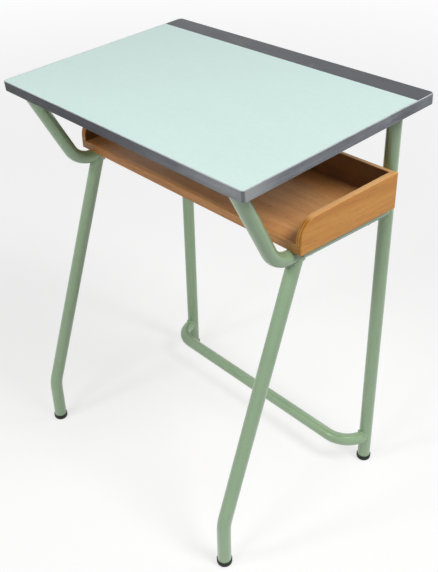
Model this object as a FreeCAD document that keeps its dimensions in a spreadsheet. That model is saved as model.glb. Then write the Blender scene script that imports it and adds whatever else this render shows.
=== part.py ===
import FreeCAD, Part
import math
import os
import re
import Sketcher

# A pupil's desk: a sloping laminated top with a metal edge band, carried by two bent side frames
# of round tube that a stretcher joins, and an open wooden tray for books under the top.
#
# +X is to the sitter's right, +Y away from the sitter, +Z up. The origin lies on the floor under
# the middle of the desk. All sizes are in millimetres and degrees.

sizes = {
    # the top
    "topWidth": 620,
    "topDepth": 416,
    "topSlope": 4.1,            # the back edge is the higher one
    "writingHeight": 766,       # at the middle of the writing surface
    "faceThickness": 1,         # laminate on the upper side
    "coreThickness": 16,
    "backThickness": 1,         # balancing laminate on the underside
    "penStripWidth": 42,        # dark strip along the back edge
    # the edge band, a T section pressed into a groove in the core
    "bandWall": 1.6,
    "bandCornerRadius": 8,
    "bandEdgeRadius": 0.9,
    "bandJointGap": 0.4,        # where its two ends meet, at the middle of the back edge
    "tongueDepth": 8,
    "tongueThickness": 1.6,
    "tongueCornerGap": 20,      # the tongue is notched away round each corner
    "barbWidth": 1.5,
    "barbRise": 0.3,
    "grooveClearance": 0.1,
    # the tube frame
    "legDiameter": 25,
    "legWall": 1.5,
    "stretcherDiameter": 24,
    "stretcherWall": 1.5,
    "frameInset": 44,           # top's side edge in to the side frame's centre line
    "rearLegSetback": 180,      # rear legs behind the origin
    "rearOverhang": 37.7,       # top's back edge behind the rear legs
    "frontOverhang": 26.3,      # top's front edge in front of the arms' upper ends
    "railDrop": 190,            # writing height down to the centre line of the arm's level rail
    "armReach": 82,             # corner of the arm's bend forward to its upper end
    "armBendRadius": 50,
    "frontLegInset": 48,        # the arm's corner back to the front leg's weld
    "footReach": 164,           # that weld forward to the front foot
    "kneeHeight": 97,
    "kneeBendRadius": 80,
    "stretcherHeight": 61,
    "stretcherBendRadius": 53,  # the bends start on the rear legs' centre lines
    "copeTrim": 3,              # how far from the other's centre line a tube ends before its cope
    # the fixing plates welded on the tube ends
    "plateLength": 64,
    "plateWidth": 30,
    "plateThickness": 3,
    "plateCornerRadius": 5,
    "plateMargin": 4,           # plate beyond the outer side of the tube
    "firstScrewInset": 24,      # tube's centre line to the first screw
    "screwPitch": 16,
    "plateHoleDiameter": 5.5,
    # the screws that hold the top
    "topScrewDiameter": 4.5,
    "topScrewLength": 16,
    "topScrewHead": 9,
    "topScrewHeadHeight": 2.8,
    # the tray
    "trayOverhang": 25,         # tray's outer face outside the side frame's centre line
    "trayHeight": 65,           # at the back
    "trayEdgeSlope": 2.1,       # the sides' upper edges fall to the front
    "sideThickness": 12,
    "floorThickness": 15,
    "rearPanelThickness": 9,
    "rebateDepth": 8,
    "sideCornerRadius": 35,
    "frontStripDepth": 8,
    "easedEdge": 1.5,
    # the screws up through the rails into the tray
    "trayScrewDiameter": 4.5,
    "trayScrewGrip": 11,        # how far they reach into the tray floor
    "trayScrewHead": 8.5,
    "trayScrewHeadHeight": 2.6,
    "trayScrewInset": 49,       # tray's front edge to the front pair
    "trayScrewRearInset": 37,   # tray's back edge to the rear pair
    "railHoleDiameter": 5.2,
    "pilotClearance": 0.05,
    "screwHeadRounding": 2,
    "slotWidth": 1.2,
    "slotDepth": 1.1,
    # the feet
    "footHeight": 11.5,
    "footOverhang": 1.5,
    "footRounding": 6,
    "stemLength": 18,
    "stemWall": 2.2,
    "ribRise": 1.1,
    "ribHeight": 1.4,
    "ribPitch": 4.5,
    "stemClearance": 0.05,
}


# Height of the plates' undersides, where the tubes end, at the place y.
def heightUnderPlates(y):
    return "(writingHeight + (%s - topCentreY) * tan(topSlope) - plateLevel / cos(topSlope))" % y


# The same place measured along the top, in the top's own sloping frame.
def placeAlongTop(y):
    return "((%s - topCentreY) / cos(topSlope) - plateLevel * tan(topSlope))" % y


# Lengths that follow from the sizes above, each a formula over them.
derived = {
    "legRadius": "legDiameter / 2",
    "stretcherRadius": "stretcherDiameter / 2",
    "frameHalf": "topWidth / 2 - frameInset",
    "railRun": "topDepth * cos(topSlope) - rearOverhang - frontOverhang - armReach",
    "frontLegSetback": "railRun - frontLegInset",
    "topThickness": "faceThickness + coreThickness + backThickness",
    "plateLevel": "topThickness + plateThickness",
    "topHalfWidth": "topWidth / 2",
    "topHalfDepth": "topDepth / 2",
    "topCentreY": "rearLegSetback + rearOverhang - topHalfDepth * cos(topSlope)",
    "coreHalfWidth": "topHalfWidth - bandWall",
    "coreHalfDepth": "topHalfDepth - bandWall",
    "coreCornerRadius": "bandCornerRadius - bandWall",
    "penStripEdge": "topHalfDepth - penStripWidth",
    "railHeight": "writingHeight - railDrop",
    "armCornerY": "rearLegSetback - railRun",
    "armTopY": "armCornerY - armReach",
    "armRise": heightUnderPlates("armTopY") + " - railHeight",
    "armBendRun": "armBendRadius * tan(atan(armRise / armReach) / 2)",
    "frontFootY": "rearLegSetback - frontLegSetback - footReach",
    "secondScrewInset": "firstScrewInset + screwPitch",
    "frontScrewY": placeAlongTop("armTopY"),
    "rearScrewY": placeAlongTop("rearLegSetback"),
    "trayHalf": "frameHalf + trayOverhang",
    "trayBackY": "rearLegSetback - legRadius",
    "trayFrontY": "armCornerY + armBendRun",
    "trayDepth": "trayBackY - trayFrontY",
    "trayBottom": "railHeight + legRadius",
    "trayFrontHeight": "trayHeight - trayDepth * tan(trayEdgeSlope)",
    "trayScrewSpacing": "trayDepth - trayScrewInset - trayScrewRearInset",
    "sideRebate": "sideThickness - rebateDepth",
    "floorHalf": "trayHalf - sideRebate",
    "boreRadius": "legRadius - legWall",
    "footRadius": "legRadius + footOverhang",
}

sides = {"left": -1, "right": 1}

doc = FreeCAD.newDocument("SchoolDesk")
sheet = doc.addObject("Spreadsheet::Sheet", "Sizes")
for row, (alias, size) in enumerate(sizes.items(), 1):
    sheet.set("A%d" % row, alias)
    sheet.set("B%d" % row, str(size))
    sheet.setAlias("B%d" % row, alias)
doc.recompute()


# ---- formulas ----

def expression(formula):
    # a derived length is written out in brackets, a size becomes its cell in the sheet
    def spell(match):
        word = match.group(0)
        if word in derived:
            return "(" + expression(derived[word]) + ")"
        if word in sizes:
            return "Sizes." + word
        return word
    return re.sub(r"[A-Za-z]\w*", spell, formula)


def value(formula):
    return float(sheet.evalExpression(expression(formula)))


def bind(target, prop, formula):
    target.setExpression(prop, expression(formula))


# ---- bodies, sketches and features ----

subParts = []


def newBody(label, x="0", y="0", z="0"):
    body = doc.addObject("PartDesign::Body", label)
    body.Label = label
    bind(body, "Placement.Base.x", x)
    bind(body, "Placement.Base.y", y)
    bind(body, "Placement.Base.z", z)
    subParts.append(body)
    return body


# A body that slopes with the top: its own X and Y lie along the top, its Z stands square to it.
def newSlopingBody(label, x="0", y="topCentreY", z="writingHeight"):
    body = newBody(label, x, y, z)
    body.Placement.Rotation = FreeCAD.Rotation(FreeCAD.Vector(1, 0, 0), value("topSlope"))
    bind(body, "Placement.Rotation.Angle", "topSlope")
    return body


def originFeature(body, role):
    return next(item for item in body.Origin.OriginFeatures if item.Role == role)


def newSketch(body, name, plane, offset="0"):
    sketch = body.newObject("Sketcher::SketchObject", body.Label + "_" + name)
    sketch.AttachmentSupport = (originFeature(body, plane), [""])
    sketch.MapMode = "FlatFace"
    bind(sketch, "AttachmentOffset.Base.z", offset)
    return sketch


def constrain(sketch, name, kind, *parts):
    index = sketch.addConstraint(Sketcher.Constraint(kind, *parts[:-1], value(parts[-1])))
    sketch.renameConstraint(index, name)
    bind(sketch, "Constraints." + name, parts[-1])


# Hold one end of a sketch element at a place measured from the sketch's origin.
def pin(sketch, element, end, x, y):
    constrain(sketch, "x%d_%d" % (element, end), "DistanceX", -1, 1, element, end, x)
    constrain(sketch, "y%d_%d" % (element, end), "DistanceY", -1, 1, element, end, y)


def circle(sketch, x, y, radius):
    centre = FreeCAD.Vector(value(x), value(y), 0)
    element = sketch.addGeometry(Part.Circle(centre, FreeCAD.Vector(0, 0, 1), value(radius)), False)
    pin(sketch, element, 3, x, y)
    constrain(sketch, "radius%d" % element, "Radius", element, radius)


# Draw straight lines from corner to corner. A corner is (x, y) or (x, y, radius): with a radius,
# an arc tangent to both lines rounds it.
def trace(sketch, corners, closed=True):
    points = [FreeCAD.Vector(value(corner[0]), value(corner[1]), 0) for corner in corners]
    count = len(corners)
    lineEnds = []
    arcs = {}
    for index, corner in enumerate(corners):
        here = points[index]
        if len(corner) == 2:
            lineEnds.append((here, here))
            continue
        back = (points[index - 1] - here).normalize()
        ahead = (points[(index + 1) % count] - here).normalize()
        radius = value(corner[2])
        halfAngle = back.getAngle(ahead) / 2
        stop = here + back * (radius / math.tan(halfAngle))
        start = here + ahead * (radius / math.tan(halfAngle))
        centre = here + (back + ahead).normalize() * (radius / math.sin(halfAngle))
        turnsLeft = back.cross(ahead).z < 0
        first, last = (stop, start) if turnsLeft else (start, stop)
        angles = [math.atan2(end.y - centre.y, end.x - centre.x) for end in (first, last)]
        round_ = Part.Circle(centre, FreeCAD.Vector(0, 0, 1), radius)
        arcs[index] = (sketch.addGeometry(Part.ArcOfCircle(round_, *angles), False), turnsLeft)
        lineEnds.append((stop, start))

    lines = []
    for index in range(count if closed else count - 1):
        line = Part.LineSegment(lineEnds[index][1], lineEnds[(index + 1) % count][0])
        lines.append(sketch.addGeometry(line, False))

    for index, corner in enumerate(corners):
        before = lines[index - 1]
        if not closed and index == count - 1:
            pin(sketch, before, 2, corner[0], corner[1])
            continue
        after = lines[index]
        if index not in arcs:
            if closed or index > 0:
                sketch.addConstraint(Sketcher.Constraint("Coincident", before, 2, after, 1))
            pin(sketch, after, 1, corner[0], corner[1])
            continue
        arc, turnsLeft = arcs[index]
        arrives, leaves = (1, 2) if turnsLeft else (2, 1)
        sketch.addConstraint(Sketcher.Constraint("Tangent", before, 2, arc, arrives))
        sketch.addConstraint(Sketcher.Constraint("Tangent", arc, leaves, after, 1))
        constrain(sketch, "radius%d" % arc, "Radius", arc, corner[2])
        apex = sketch.addGeometry(Part.Point(points[index]), True)
        pin(sketch, apex, 1, corner[0], corner[1])
        sketch.addConstraint(Sketcher.Constraint("PointOnObject", apex, 1, before))
        sketch.addConstraint(Sketcher.Constraint("PointOnObject", apex, 1, after))


def rectangle(sketch, left, front, right, back, radius=None):
    corners = [(left, front), (right, front), (right, back), (left, back)]
    if radius:
        corners = [corner + (radius,) for corner in corners]
    trace(sketch, corners)


def pad(body, name, sketch, length, centred=False):
    feature = body.newObject("PartDesign::Pad", body.Label + "_" + name)
    feature.Profile = sketch
    feature.SideType = "Symmetric" if centred else "One side"
    bind(feature, "Length", length)
    return feature


# A pocket of a stated depth cuts against the sketch's normal, or along it when reversed.
def pocket(body, name, sketch, length, reversed_=False, centred=False):
    feature = body.newObject("PartDesign::Pocket", body.Label + "_" + name)
    feature.Profile = sketch
    feature.SideType = "Symmetric" if centred else "One side"
    feature.Reversed = reversed_
    bind(feature, "Length", length)
    return feature


def revolve(body, name, sketch):
    feature = body.newObject("PartDesign::Revolution", body.Label + "_" + name)
    feature.Profile = sketch
    feature.ReferenceAxis = (sketch, ["V_Axis"])
    feature.Angle = 360
    return feature


def fillet(body, name, base, radius, chosen):
    doc.recompute()
    edges = ["Edge%d" % number for number, edge in enumerate(base.Shape.Edges, 1) if chosen(edge)]
    feature = body.newObject("PartDesign::Fillet", body.Label + "_" + name)
    feature.Base = (base, edges)
    bind(feature, "Radius", radius)
    return feature


# Repeat the whole body so far. Each step is (axis, distance) for a second copy that far along
# the axis, or (plane,) for a copy on the other side of that plane.
def repeat(body, *steps):
    base = body.Tip
    transformations = []
    for number, step in enumerate(steps, 1):
        kind = "LinearPattern" if len(step) == 2 else "Mirrored"
        feature = body.newObject("PartDesign::" + kind, "%s_step%d" % (body.Label, number))
        where = (originFeature(body, step[0]), [""])
        if kind == "LinearPattern":
            feature.Direction = where
            feature.Occurrences = 2
            bind(feature, "Length", step[1])
        else:
            feature.MirrorPlane = where
        transformations.append(feature)
    whole = body.newObject("PartDesign::MultiTransform", body.Label + "_group")
    whole.TransformMode = "Whole shape"
    whole.Transformations = transformations
    whole.BaseFeature = base
    body.Tip = whole


# ---- the top ----

def makeCore():
    body = newSlopingBody("top_core")
    board = newSketch(body, "outline", "XY_Plane", "-faceThickness - coreThickness")
    rectangle(board, "-coreHalfWidth", "-coreHalfDepth", "coreHalfWidth", "coreHalfDepth",
              "coreCornerRadius")
    pad(body, "board", board, "coreThickness")
    # the groove runs all round at half the top's thickness, so that the band sits flush
    groove = newSketch(body, "groove_outline", "XY_Plane", "-topThickness / 2")
    rectangle(groove, "-topHalfWidth", "-topHalfDepth", "topHalfWidth", "topHalfDepth")
    grooveFloorX = "(coreHalfWidth - tongueDepth - grooveClearance)"
    grooveFloorY = "(coreHalfDepth - tongueDepth - grooveClearance)"
    rectangle(groove, "-" + grooveFloorX, "-" + grooveFloorY, grooveFloorX, grooveFloorY)
    pocket(body, "groove", groove, "tongueThickness + 2 * barbRise + 2 * grooveClearance",
           centred=True)
    pilots = newSketch(body, "pilot_outline", "XY_Plane", "-faceThickness - coreThickness")
    screwCircles(pilots)
    pocket(body, "pilots", pilots,
           "topScrewLength - plateThickness - backThickness + pilotClearance", reversed_=True)


# Eight circles on the screw places, in a sketch that lies along the top.
def screwCircles(sketch):
    for side in sides.values():
        for inset in ("firstScrewInset", "secondScrewInset"):
            for screwY in ("frontScrewY", "rearScrewY"):
                circle(sketch, "%d * (frameHalf - %s)" % (side, inset), screwY,
                       "topScrewDiameter / 2 + pilotClearance")


def makeLaminates():
    left, right = "-coreHalfWidth", "coreHalfWidth"
    front, back = "-coreHalfDepth", "coreHalfDepth"
    rounding = "coreCornerRadius"

    surface = newSlopingBody("writing_surface")
    outline = newSketch(surface, "outline", "XY_Plane", "-faceThickness")
    trace(outline, [(left, front, rounding), (right, front, rounding),
                    (right, "penStripEdge"), (left, "penStripEdge")])
    pad(surface, "sheet", outline, "faceThickness")

    strip = newSlopingBody("pen_strip")
    outline = newSketch(strip, "outline", "XY_Plane", "-faceThickness")
    trace(outline, [(left, "penStripEdge"), (right, "penStripEdge"),
                    (right, back, rounding), (left, back, rounding)])
    pad(strip, "sheet", outline, "faceThickness")

    balancing = newSlopingBody("balancing_sheet")
    outline = newSketch(balancing, "outline", "XY_Plane", "-topThickness")
    rectangle(outline, left, front, right, back, rounding)
    screwCircles(outline)
    pad(balancing, "sheet", outline, "backThickness")


def makeEdgeBand():
    body = newSlopingBody("edge_band")
    wall = newSketch(body, "wall_outline", "XY_Plane", "-topThickness")
    rectangle(wall, "-topHalfWidth", "-topHalfDepth", "topHalfWidth", "topHalfDepth",
              "bandCornerRadius")
    rectangle(wall, "-coreHalfWidth", "-coreHalfDepth", "coreHalfWidth", "coreHalfDepth",
              "coreCornerRadius")
    band = pad(body, "wall", wall, "topThickness")

    # the long outer edges are broken, so that no sharp rim meets the arm
    outerX, outerY = value("coreHalfWidth"), value("coreHalfDepth")

    def onOuterRim(edge):
        box = edge.BoundBox
        level = box.ZLength < 0.001
        reach = max(abs(box.XMin), abs(box.XMax)) > outerX + 0.01
        return level and (reach or max(abs(box.YMin), abs(box.YMax)) > outerY + 0.01)

    fillet(body, "broken_edges", band, "min(bandEdgeRadius; 2 * bandWall / 3)", onOuterRim)

    def tongues(sketch, start, finish):
        alongX = "(topHalfWidth - tongueCornerGap)"
        alongY = "(topHalfDepth - tongueCornerGap)"
        nearX, farX = "(coreHalfWidth - %s)" % start, "(coreHalfWidth - %s)" % finish
        nearY, farY = "(coreHalfDepth - %s)" % start, "(coreHalfDepth - %s)" % finish
        rectangle(sketch, "-" + alongX, "-" + nearY, alongX, "-" + farY)
        rectangle(sketch, "-" + alongX, farY, alongX, nearY)
        rectangle(sketch, "-" + nearX, "-" + alongY, "-" + farX, alongY)
        rectangle(sketch, farX, "-" + alongY, nearX, alongY)

    tongue = newSketch(body, "tongue_outline", "XY_Plane", "-topThickness / 2")
    tongues(tongue, "0", "tongueDepth")
    pad(body, "tongue", tongue, "tongueThickness", centred=True)
    barb = newSketch(body, "barb_outline", "XY_Plane", "-topThickness / 2")
    tongues(barb, "(tongueDepth - barbWidth)", "tongueDepth")
    pad(body, "barb", barb, "tongueThickness + 2 * barbRise", centred=True)

    joint = newSketch(body, "joint_outline", "XY_Plane")
    rectangle(joint, "-bandJointGap / 2", "0", "bandJointGap / 2", "topDepth")
    pocket(body, "joint", joint, "topThickness")


# ---- the tube frame ----

# A sketch of a tube's section: its outer circle and its bore.
def tubeSection(body, plane, radius, wall, offset="0", x="0"):
    section = newSketch(body, "section", plane, offset)
    circle(section, x, "0", radius)
    circle(section, x, "0", radius + " - " + wall)
    return section


def sweep(body, section, path):
    feature = body.newObject("PartDesign::AdditivePipe", body.Label + "_tube")
    feature.Profile = section
    feature.Spine = (path, ["Edge%d" % (number + 1) for number in range(pathEdges(path))])


def pathEdges(path):
    doc.recompute()
    return len(path.Shape.Edges)


# Cut a tube's upper end off along the underside of the fixing plate. The place of the body's
# origin is given, because the cut is drawn from there.
def mitreUnderPlate(body, originY, originZ, endY):
    reach = "2 * legDiameter"
    cut = newSketch(body, "mitre_outline", "YZ_Plane")
    ends = ["(%s - %s)" % (endY, reach), "(%s + %s)" % (endY, reach)]
    levels = [heightUnderPlates(end) + " - " + originZ for end in ends]
    trace(cut, [(ends[0] + " - " + originY, levels[0]),
                (ends[1] + " - " + originY, levels[1]),
                (ends[1] + " - " + originY, levels[1] + " + " + reach),
                (ends[0] + " - " + originY, levels[1] + " + " + reach)])
    pocket(body, "mitre", cut, "2 * legDiameter", centred=True)


# The arm: a rail from the rear leg forward under the tray, then a bend and a riser to the top.
def makeArm(side, sign):
    body = newBody(side + "_arm", "%d * frameHalf" % sign, "rearLegSetback", "railHeight")
    overrun = "1.2"             # the riser runs on past the plate and is then mitred back to it
    path = newSketch(body, "path", "YZ_Plane")
    trace(path, [("-copeTrim", "0"), ("-railRun", "0", "armBendRadius"),
                 ("-railRun - armReach * " + overrun, "armRise * " + overrun)], closed=False)
    sweep(body, tubeSection(body, "XZ_Plane", "legRadius", "legWall", "copeTrim"), path)
    mitreUnderPlate(body, "rearLegSetback", "railHeight", "armTopY")

    # the rear end is coped to the round of the rear leg
    cope = newSketch(body, "cope_outline", "XY_Plane")
    circle(cope, "0", "0", "legRadius")
    pocket(body, "cope", cope, "2 * legDiameter", centred=True)

    holes = newSketch(body, "hole_outline", "XY_Plane")
    firstHole = "trayFrontY + trayScrewInset - rearLegSetback"
    circle(holes, "0", firstHole, "railHoleDiameter / 2")
    circle(holes, "0", firstHole + " + trayScrewSpacing", "railHoleDiameter / 2")
    pocket(body, "screw_holes", holes, "2 * legDiameter", centred=True)


# The front leg: upright from the foot to the knee, then sloping back to its weld under the rail.
def makeFrontLeg(side, sign):
    body = newBody(side + "_front_leg", "%d * frameHalf" % sign, "frontFootY")
    shortfall = "(1 - copeTrim / (railHeight - kneeHeight))"
    path = newSketch(body, "path", "YZ_Plane")
    trace(path, [("0", "footHeight"), ("0", "kneeHeight", "kneeBendRadius"),
                 ("footReach * " + shortfall,
                  "kneeHeight + (railHeight - kneeHeight) * " + shortfall)], closed=False)
    sweep(body, tubeSection(body, "XY_Plane", "legRadius", "legWall", "footHeight"), path)
    # the upper end is coped to the round of the rail
    cope = newSketch(body, "cope_outline", "XZ_Plane")
    circle(cope, "0", "railHeight", "legRadius")
    pocket(body, "cope", cope, "2 * (footReach + 2 * legDiameter)", centred=True)


# The rear leg: one straight tube from the foot to the plate.
def makeRearLeg(side, sign):
    body = newBody(side + "_rear_leg", "%d * frameHalf" % sign, "rearLegSetback")
    section = tubeSection(body, "XY_Plane", "legRadius", "legWall", "footHeight")
    plateHeight = heightUnderPlates("rearLegSetback")
    pad(body, "tube", section, plateHeight + " + legRadius - footHeight")
    mitreUnderPlate(body, "rearLegSetback", "0", "rearLegSetback")


# The stretcher: a U in the level plane whose two ends are coped to the rear legs.
def makeStretcher():
    body = newBody("stretcher", "0", "rearLegSetback", "stretcherHeight")
    path = newSketch(body, "path", "XY_Plane")
    trace(path, [("-frameHalf", "copeTrim"),
                 ("-frameHalf", "-stretcherBendRadius", "stretcherBendRadius"),
                 ("frameHalf", "-stretcherBendRadius", "stretcherBendRadius"),
                 ("frameHalf", "copeTrim")], closed=False)
    section = tubeSection(body, "XZ_Plane", "stretcherRadius", "stretcherWall", "-copeTrim",
                          "-frameHalf")
    sweep(body, section, path)
    copes = newSketch(body, "cope_outline", "XY_Plane")
    for sign in sides.values():
        circle(copes, "%d * frameHalf" % sign, "0", "legRadius")
    pocket(body, "copes", copes, "2 * stretcherDiameter", centred=True)


# A fixing plate lies against the underside of the top, with the tube's end welded under its
# outer end and two screw holes towards the middle of the desk.
def makePlate(label, sign, y):
    body = newSlopingBody(label, "%d * frameHalf" % sign, y, heightUnderPlates(y))
    outer = "%d * (legRadius + plateMargin)" % sign
    inner = "%d * (legRadius + plateMargin - plateLength)" % sign
    ends = (outer, inner) if sign < 0 else (inner, outer)
    outline = newSketch(body, "outline", "XY_Plane")
    rectangle(outline, ends[0], "-plateWidth / 2", ends[1], "plateWidth / 2", "plateCornerRadius")
    for inset in ("firstScrewInset", "secondScrewInset"):
        circle(outline, "%d * %s" % (-sign, inset), "0", "plateHoleDiameter / 2")
    pad(body, "plate", outline, "plateThickness")


# ---- the screws ----

# A slotted pan-head screw whose head lies under the given level, at x and y in the body's frame.
def makeScrew(body, x, y, level, diameter, length, head, headHeight):
    profile = newSketch(body, "profile", "XZ_Plane", "-(%s)" % y)
    bind(profile, "AttachmentOffset.Base.x", x)
    point = level + " + " + length
    trace(profile, [("0", level + " - " + headHeight),
                    (head + " / 2", level + " - " + headHeight, "screwHeadRounding"),
                    (head + " / 2", level), (diameter + " / 2", level),
                    (diameter + " / 2", point + " - " + diameter), ("0", point)])
    revolve(body, "turned", profile)
    slot = newSketch(body, "slot_outline", "XY_Plane", level + " - " + headHeight)
    rectangle(slot, "%s - %s" % (x, head), "%s - slotWidth / 2" % y,
              "%s + %s" % (x, head), "%s + slotWidth / 2" % y)
    pocket(body, "slot", slot, "slotDepth", reversed_=True)


def makeTopScrews():
    body = newSlopingBody("top_screws")
    body.AllowCompound = True
    makeScrew(body, "(frameHalf - secondScrewInset)", "frontScrewY", "-plateLevel",
              "topScrewDiameter", "topScrewLength", "topScrewHead", "topScrewHeadHeight")
    repeat(body, ("X_Axis", "screwPitch"), ("Y_Axis", "rearScrewY - frontScrewY"),
           ("YZ_Plane",))


def makeTrayScrews():
    body = newBody("tray_screws")
    body.AllowCompound = True
    makeScrew(body, "frameHalf", "(trayFrontY + trayScrewInset)", "(railHeight - legRadius)",
              "trayScrewDiameter", "(legDiameter + trayScrewGrip)", "trayScrewHead",
              "trayScrewHeadHeight")
    repeat(body, ("Y_Axis", "trayScrewSpacing"), ("YZ_Plane",))


# ---- the tray ----

# A side is drawn on its outer face, its upper edge falling to a rounded front corner, and
# rebated on its inner face for the floor and the back.
def makeTraySide(side, sign):
    body = newBody("tray_%s_side" % side, "%d * trayHalf" % sign, "trayBackY", "trayBottom")
    outline = newSketch(body, "outline", "YZ_Plane", "%d * sideThickness / 2" % -sign)
    trace(outline, [("-trayDepth", "0"), ("0", "0"), ("0", "trayHeight"),
                    ("-trayDepth", "trayFrontHeight", "sideCornerRadius")])
    panel = pad(body, "panel", outline, "sideThickness", centred=True)
    top, front = value("trayHeight"), -value("trayDepth")

    def alongTopOrFront(edge):
        box = edge.BoundBox
        onFace = box.XLength < 0.001
        bottomOrBack = box.ZMax < 0.001 or box.YMin > -0.001
        return onFace and not bottomOrBack and (box.ZMax > top - 0.01 or box.YMin < front + 0.01)

    fillet(body, "eased_edges", panel, "min(easedEdge; sideThickness / 4)", alongTopOrFront)
    inner = "%d * sideThickness" % -sign
    floorRebate = newSketch(body, "floor_rebate_outline", "YZ_Plane", inner)
    rectangle(floorRebate, "-trayDepth", "0", "0", "floorThickness")
    pocket(body, "floor_rebate", floorRebate, "2 * rebateDepth", centred=True)
    backRebate = newSketch(body, "back_rebate_outline", "YZ_Plane", inner)
    rectangle(backRebate, "-rearPanelThickness", "0", "0", "trayHeight")
    pocket(body, "back_rebate", backRebate, "2 * rebateDepth", centred=True)


def makeTrayFloor():
    body = newBody("tray_floor", "0", "trayBackY", "trayBottom")
    outline = newSketch(body, "outline", "XY_Plane")
    rectangle(outline, "-floorHalf", "-trayDepth + frontStripDepth", "floorHalf",
              "-rearPanelThickness")
    pad(body, "board", outline, "floorThickness")
    pilots = newSketch(body, "pilot_outline", "XY_Plane")
    firstPilot = "-trayDepth + trayScrewInset"
    for sign in sides.values():
        for pilot in (firstPilot, firstPilot + " + trayScrewSpacing"):
            circle(pilots, "%d * frameHalf" % sign, pilot,
                   "trayScrewDiameter / 2 + pilotClearance")
    pocket(body, "pilots", pilots, "trayScrewGrip + pilotClearance", reversed_=True)


# The solid strip glued along the floor's front edge, its upper edges eased.
def makeTrayFrontStrip():
    body = newBody("tray_front_strip", "0", "trayFrontY", "trayBottom")
    profile = newSketch(body, "profile", "YZ_Plane")
    easing = "min(easedEdge; frontStripDepth / 4)"
    trace(profile, [("0", "0"), ("frontStripDepth", "0"), ("frontStripDepth", "floorThickness"),
                    ("0", "floorThickness", easing)])
    pad(body, "strip", profile, "2 * floorHalf", centred=True)


def makeTrayBack():
    body = newBody("tray_back", "0", "trayBackY", "trayBottom")
    profile = newSketch(body, "profile", "YZ_Plane")
    easing = "min(easedEdge; rearPanelThickness / 4)"
    trace(profile, [("-rearPanelThickness", "0"), ("0", "0"), ("0", "trayHeight", easing),
                    ("-rearPanelThickness", "trayHeight", easing)])
    pad(body, "panel", profile, "2 * floorHalf", centred=True)


# ---- the feet ----

# A moulded plug: a rounded cap that the tube stands on and a hollow ribbed stem inside its bore.
def makeFoot(label, sign, y):
    body = newBody(label, "%d * frameHalf" % sign, y)
    ribRadius = "boreRadius - stemClearance"
    stemRadius = "boreRadius - stemClearance - ribRise"
    stemTop = "footHeight + stemLength"
    outline = [("0", "0"), ("footRadius", "0", "footRounding"), ("footRadius", "footHeight"),
               (stemRadius, "footHeight")]
    for number in range(3):
        ribTop = "%s - %d * ribPitch" % (stemTop, 2 - number)
        outline += [(stemRadius, ribTop + " - ribHeight"), (ribRadius, ribTop + " - ribHeight"),
                    (ribRadius, ribTop + " - ribHeight / 2"), (stemRadius, ribTop)]
    hollow = stemRadius + " - stemWall"
    outline += [(hollow, stemTop), (hollow, "footHeight"), ("0", "footHeight")]
    profile = newSketch(body, "profile", "XZ_Plane")
    trace(profile, outline)
    revolve(body, "moulding", profile)


# ---- assembly ----

makeCore()
makeLaminates()
makeEdgeBand()
for sideName, sideSign in sides.items():
    makeArm(sideName, sideSign)
    makeFrontLeg(sideName, sideSign)
    makeRearLeg(sideName, sideSign)
    makePlate(sideName + "_front_plate", sideSign, "armTopY")
    makePlate(sideName + "_rear_plate", sideSign, "rearLegSetback")
    makeTraySide(sideName, sideSign)
    makeFoot(sideName + "_front_foot", sideSign, "frontFootY")
    makeFoot(sideName + "_rear_foot", sideSign, "rearLegSetback")
makeStretcher()
makeTopScrews()
makeTrayFloor()
makeTrayFrontStrip()
makeTrayBack()
makeTrayScrews()
doc.recompute()

# Every object has to be up to date, every cut has to remove something, and every sub-part has to
# be a sound solid, before anything is written.
for item in doc.Objects:
    if "Invalid" in item.State or "Error" in item.State:
        raise RuntimeError("%s failed: %s" % (item.Label, item.getStatusString()))
    if item.isDerivedFrom("PartDesign::Pocket"):
        removed = item.BaseFeature.Shape.Volume - item.Shape.Volume
        if removed <= 0:
            raise RuntimeError("%s cuts nothing" % item.Label)
for body in subParts:
    if body.Shape.isNull() or not body.Shape.isValid() or not body.Shape.Solids:
        raise RuntimeError("%s is no sound solid" % body.Label)

os.makedirs("parts", exist_ok=True)
for body in subParts:
    body.Shape.exportStep("parts/%s.step" % body.Label)
print("%d sub-parts written" % len(subParts))
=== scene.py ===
import bpy
import bmesh
import math
from mathutils import Euler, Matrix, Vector


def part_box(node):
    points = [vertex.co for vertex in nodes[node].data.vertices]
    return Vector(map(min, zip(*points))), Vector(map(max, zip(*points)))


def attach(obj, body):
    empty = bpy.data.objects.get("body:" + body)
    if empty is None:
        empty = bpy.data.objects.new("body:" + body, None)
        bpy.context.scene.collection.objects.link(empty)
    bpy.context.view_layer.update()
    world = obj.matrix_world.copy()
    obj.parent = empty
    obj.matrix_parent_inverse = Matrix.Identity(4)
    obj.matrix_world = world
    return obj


# Looks of a pupil's desk: laminated top, rolled edge band, painted tube frame, wooden tray.
# Lengths are in metres, angles in degrees and the lamps' strengths in watts.

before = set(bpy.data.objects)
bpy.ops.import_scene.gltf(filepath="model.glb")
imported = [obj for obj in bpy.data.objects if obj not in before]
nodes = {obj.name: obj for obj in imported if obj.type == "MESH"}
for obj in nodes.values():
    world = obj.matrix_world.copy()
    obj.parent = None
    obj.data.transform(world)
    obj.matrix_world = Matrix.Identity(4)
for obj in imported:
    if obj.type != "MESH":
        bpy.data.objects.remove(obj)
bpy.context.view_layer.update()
print("frame loaded:", len(nodes), "nodes")


# helpers for colours and shader nodes

def fromScreen(red, green, blue):
    # a colour as a paint chart gives it, 0 to 255, turned into the linear light the shader wants
    def linear(level):
        level /= 255
        return level / 12.92 if level <= 0.04045 else ((level + 0.055) / 1.055) ** 2.4
    return (linear(red), linear(green), linear(blue), 1.0)


def feed(tree, socket, source):
    # a socket takes either the output of another node or a plain value
    if isinstance(source, bpy.types.NodeSocket):
        tree.links.new(source, socket)
    else:
        socket.default_value = source


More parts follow.
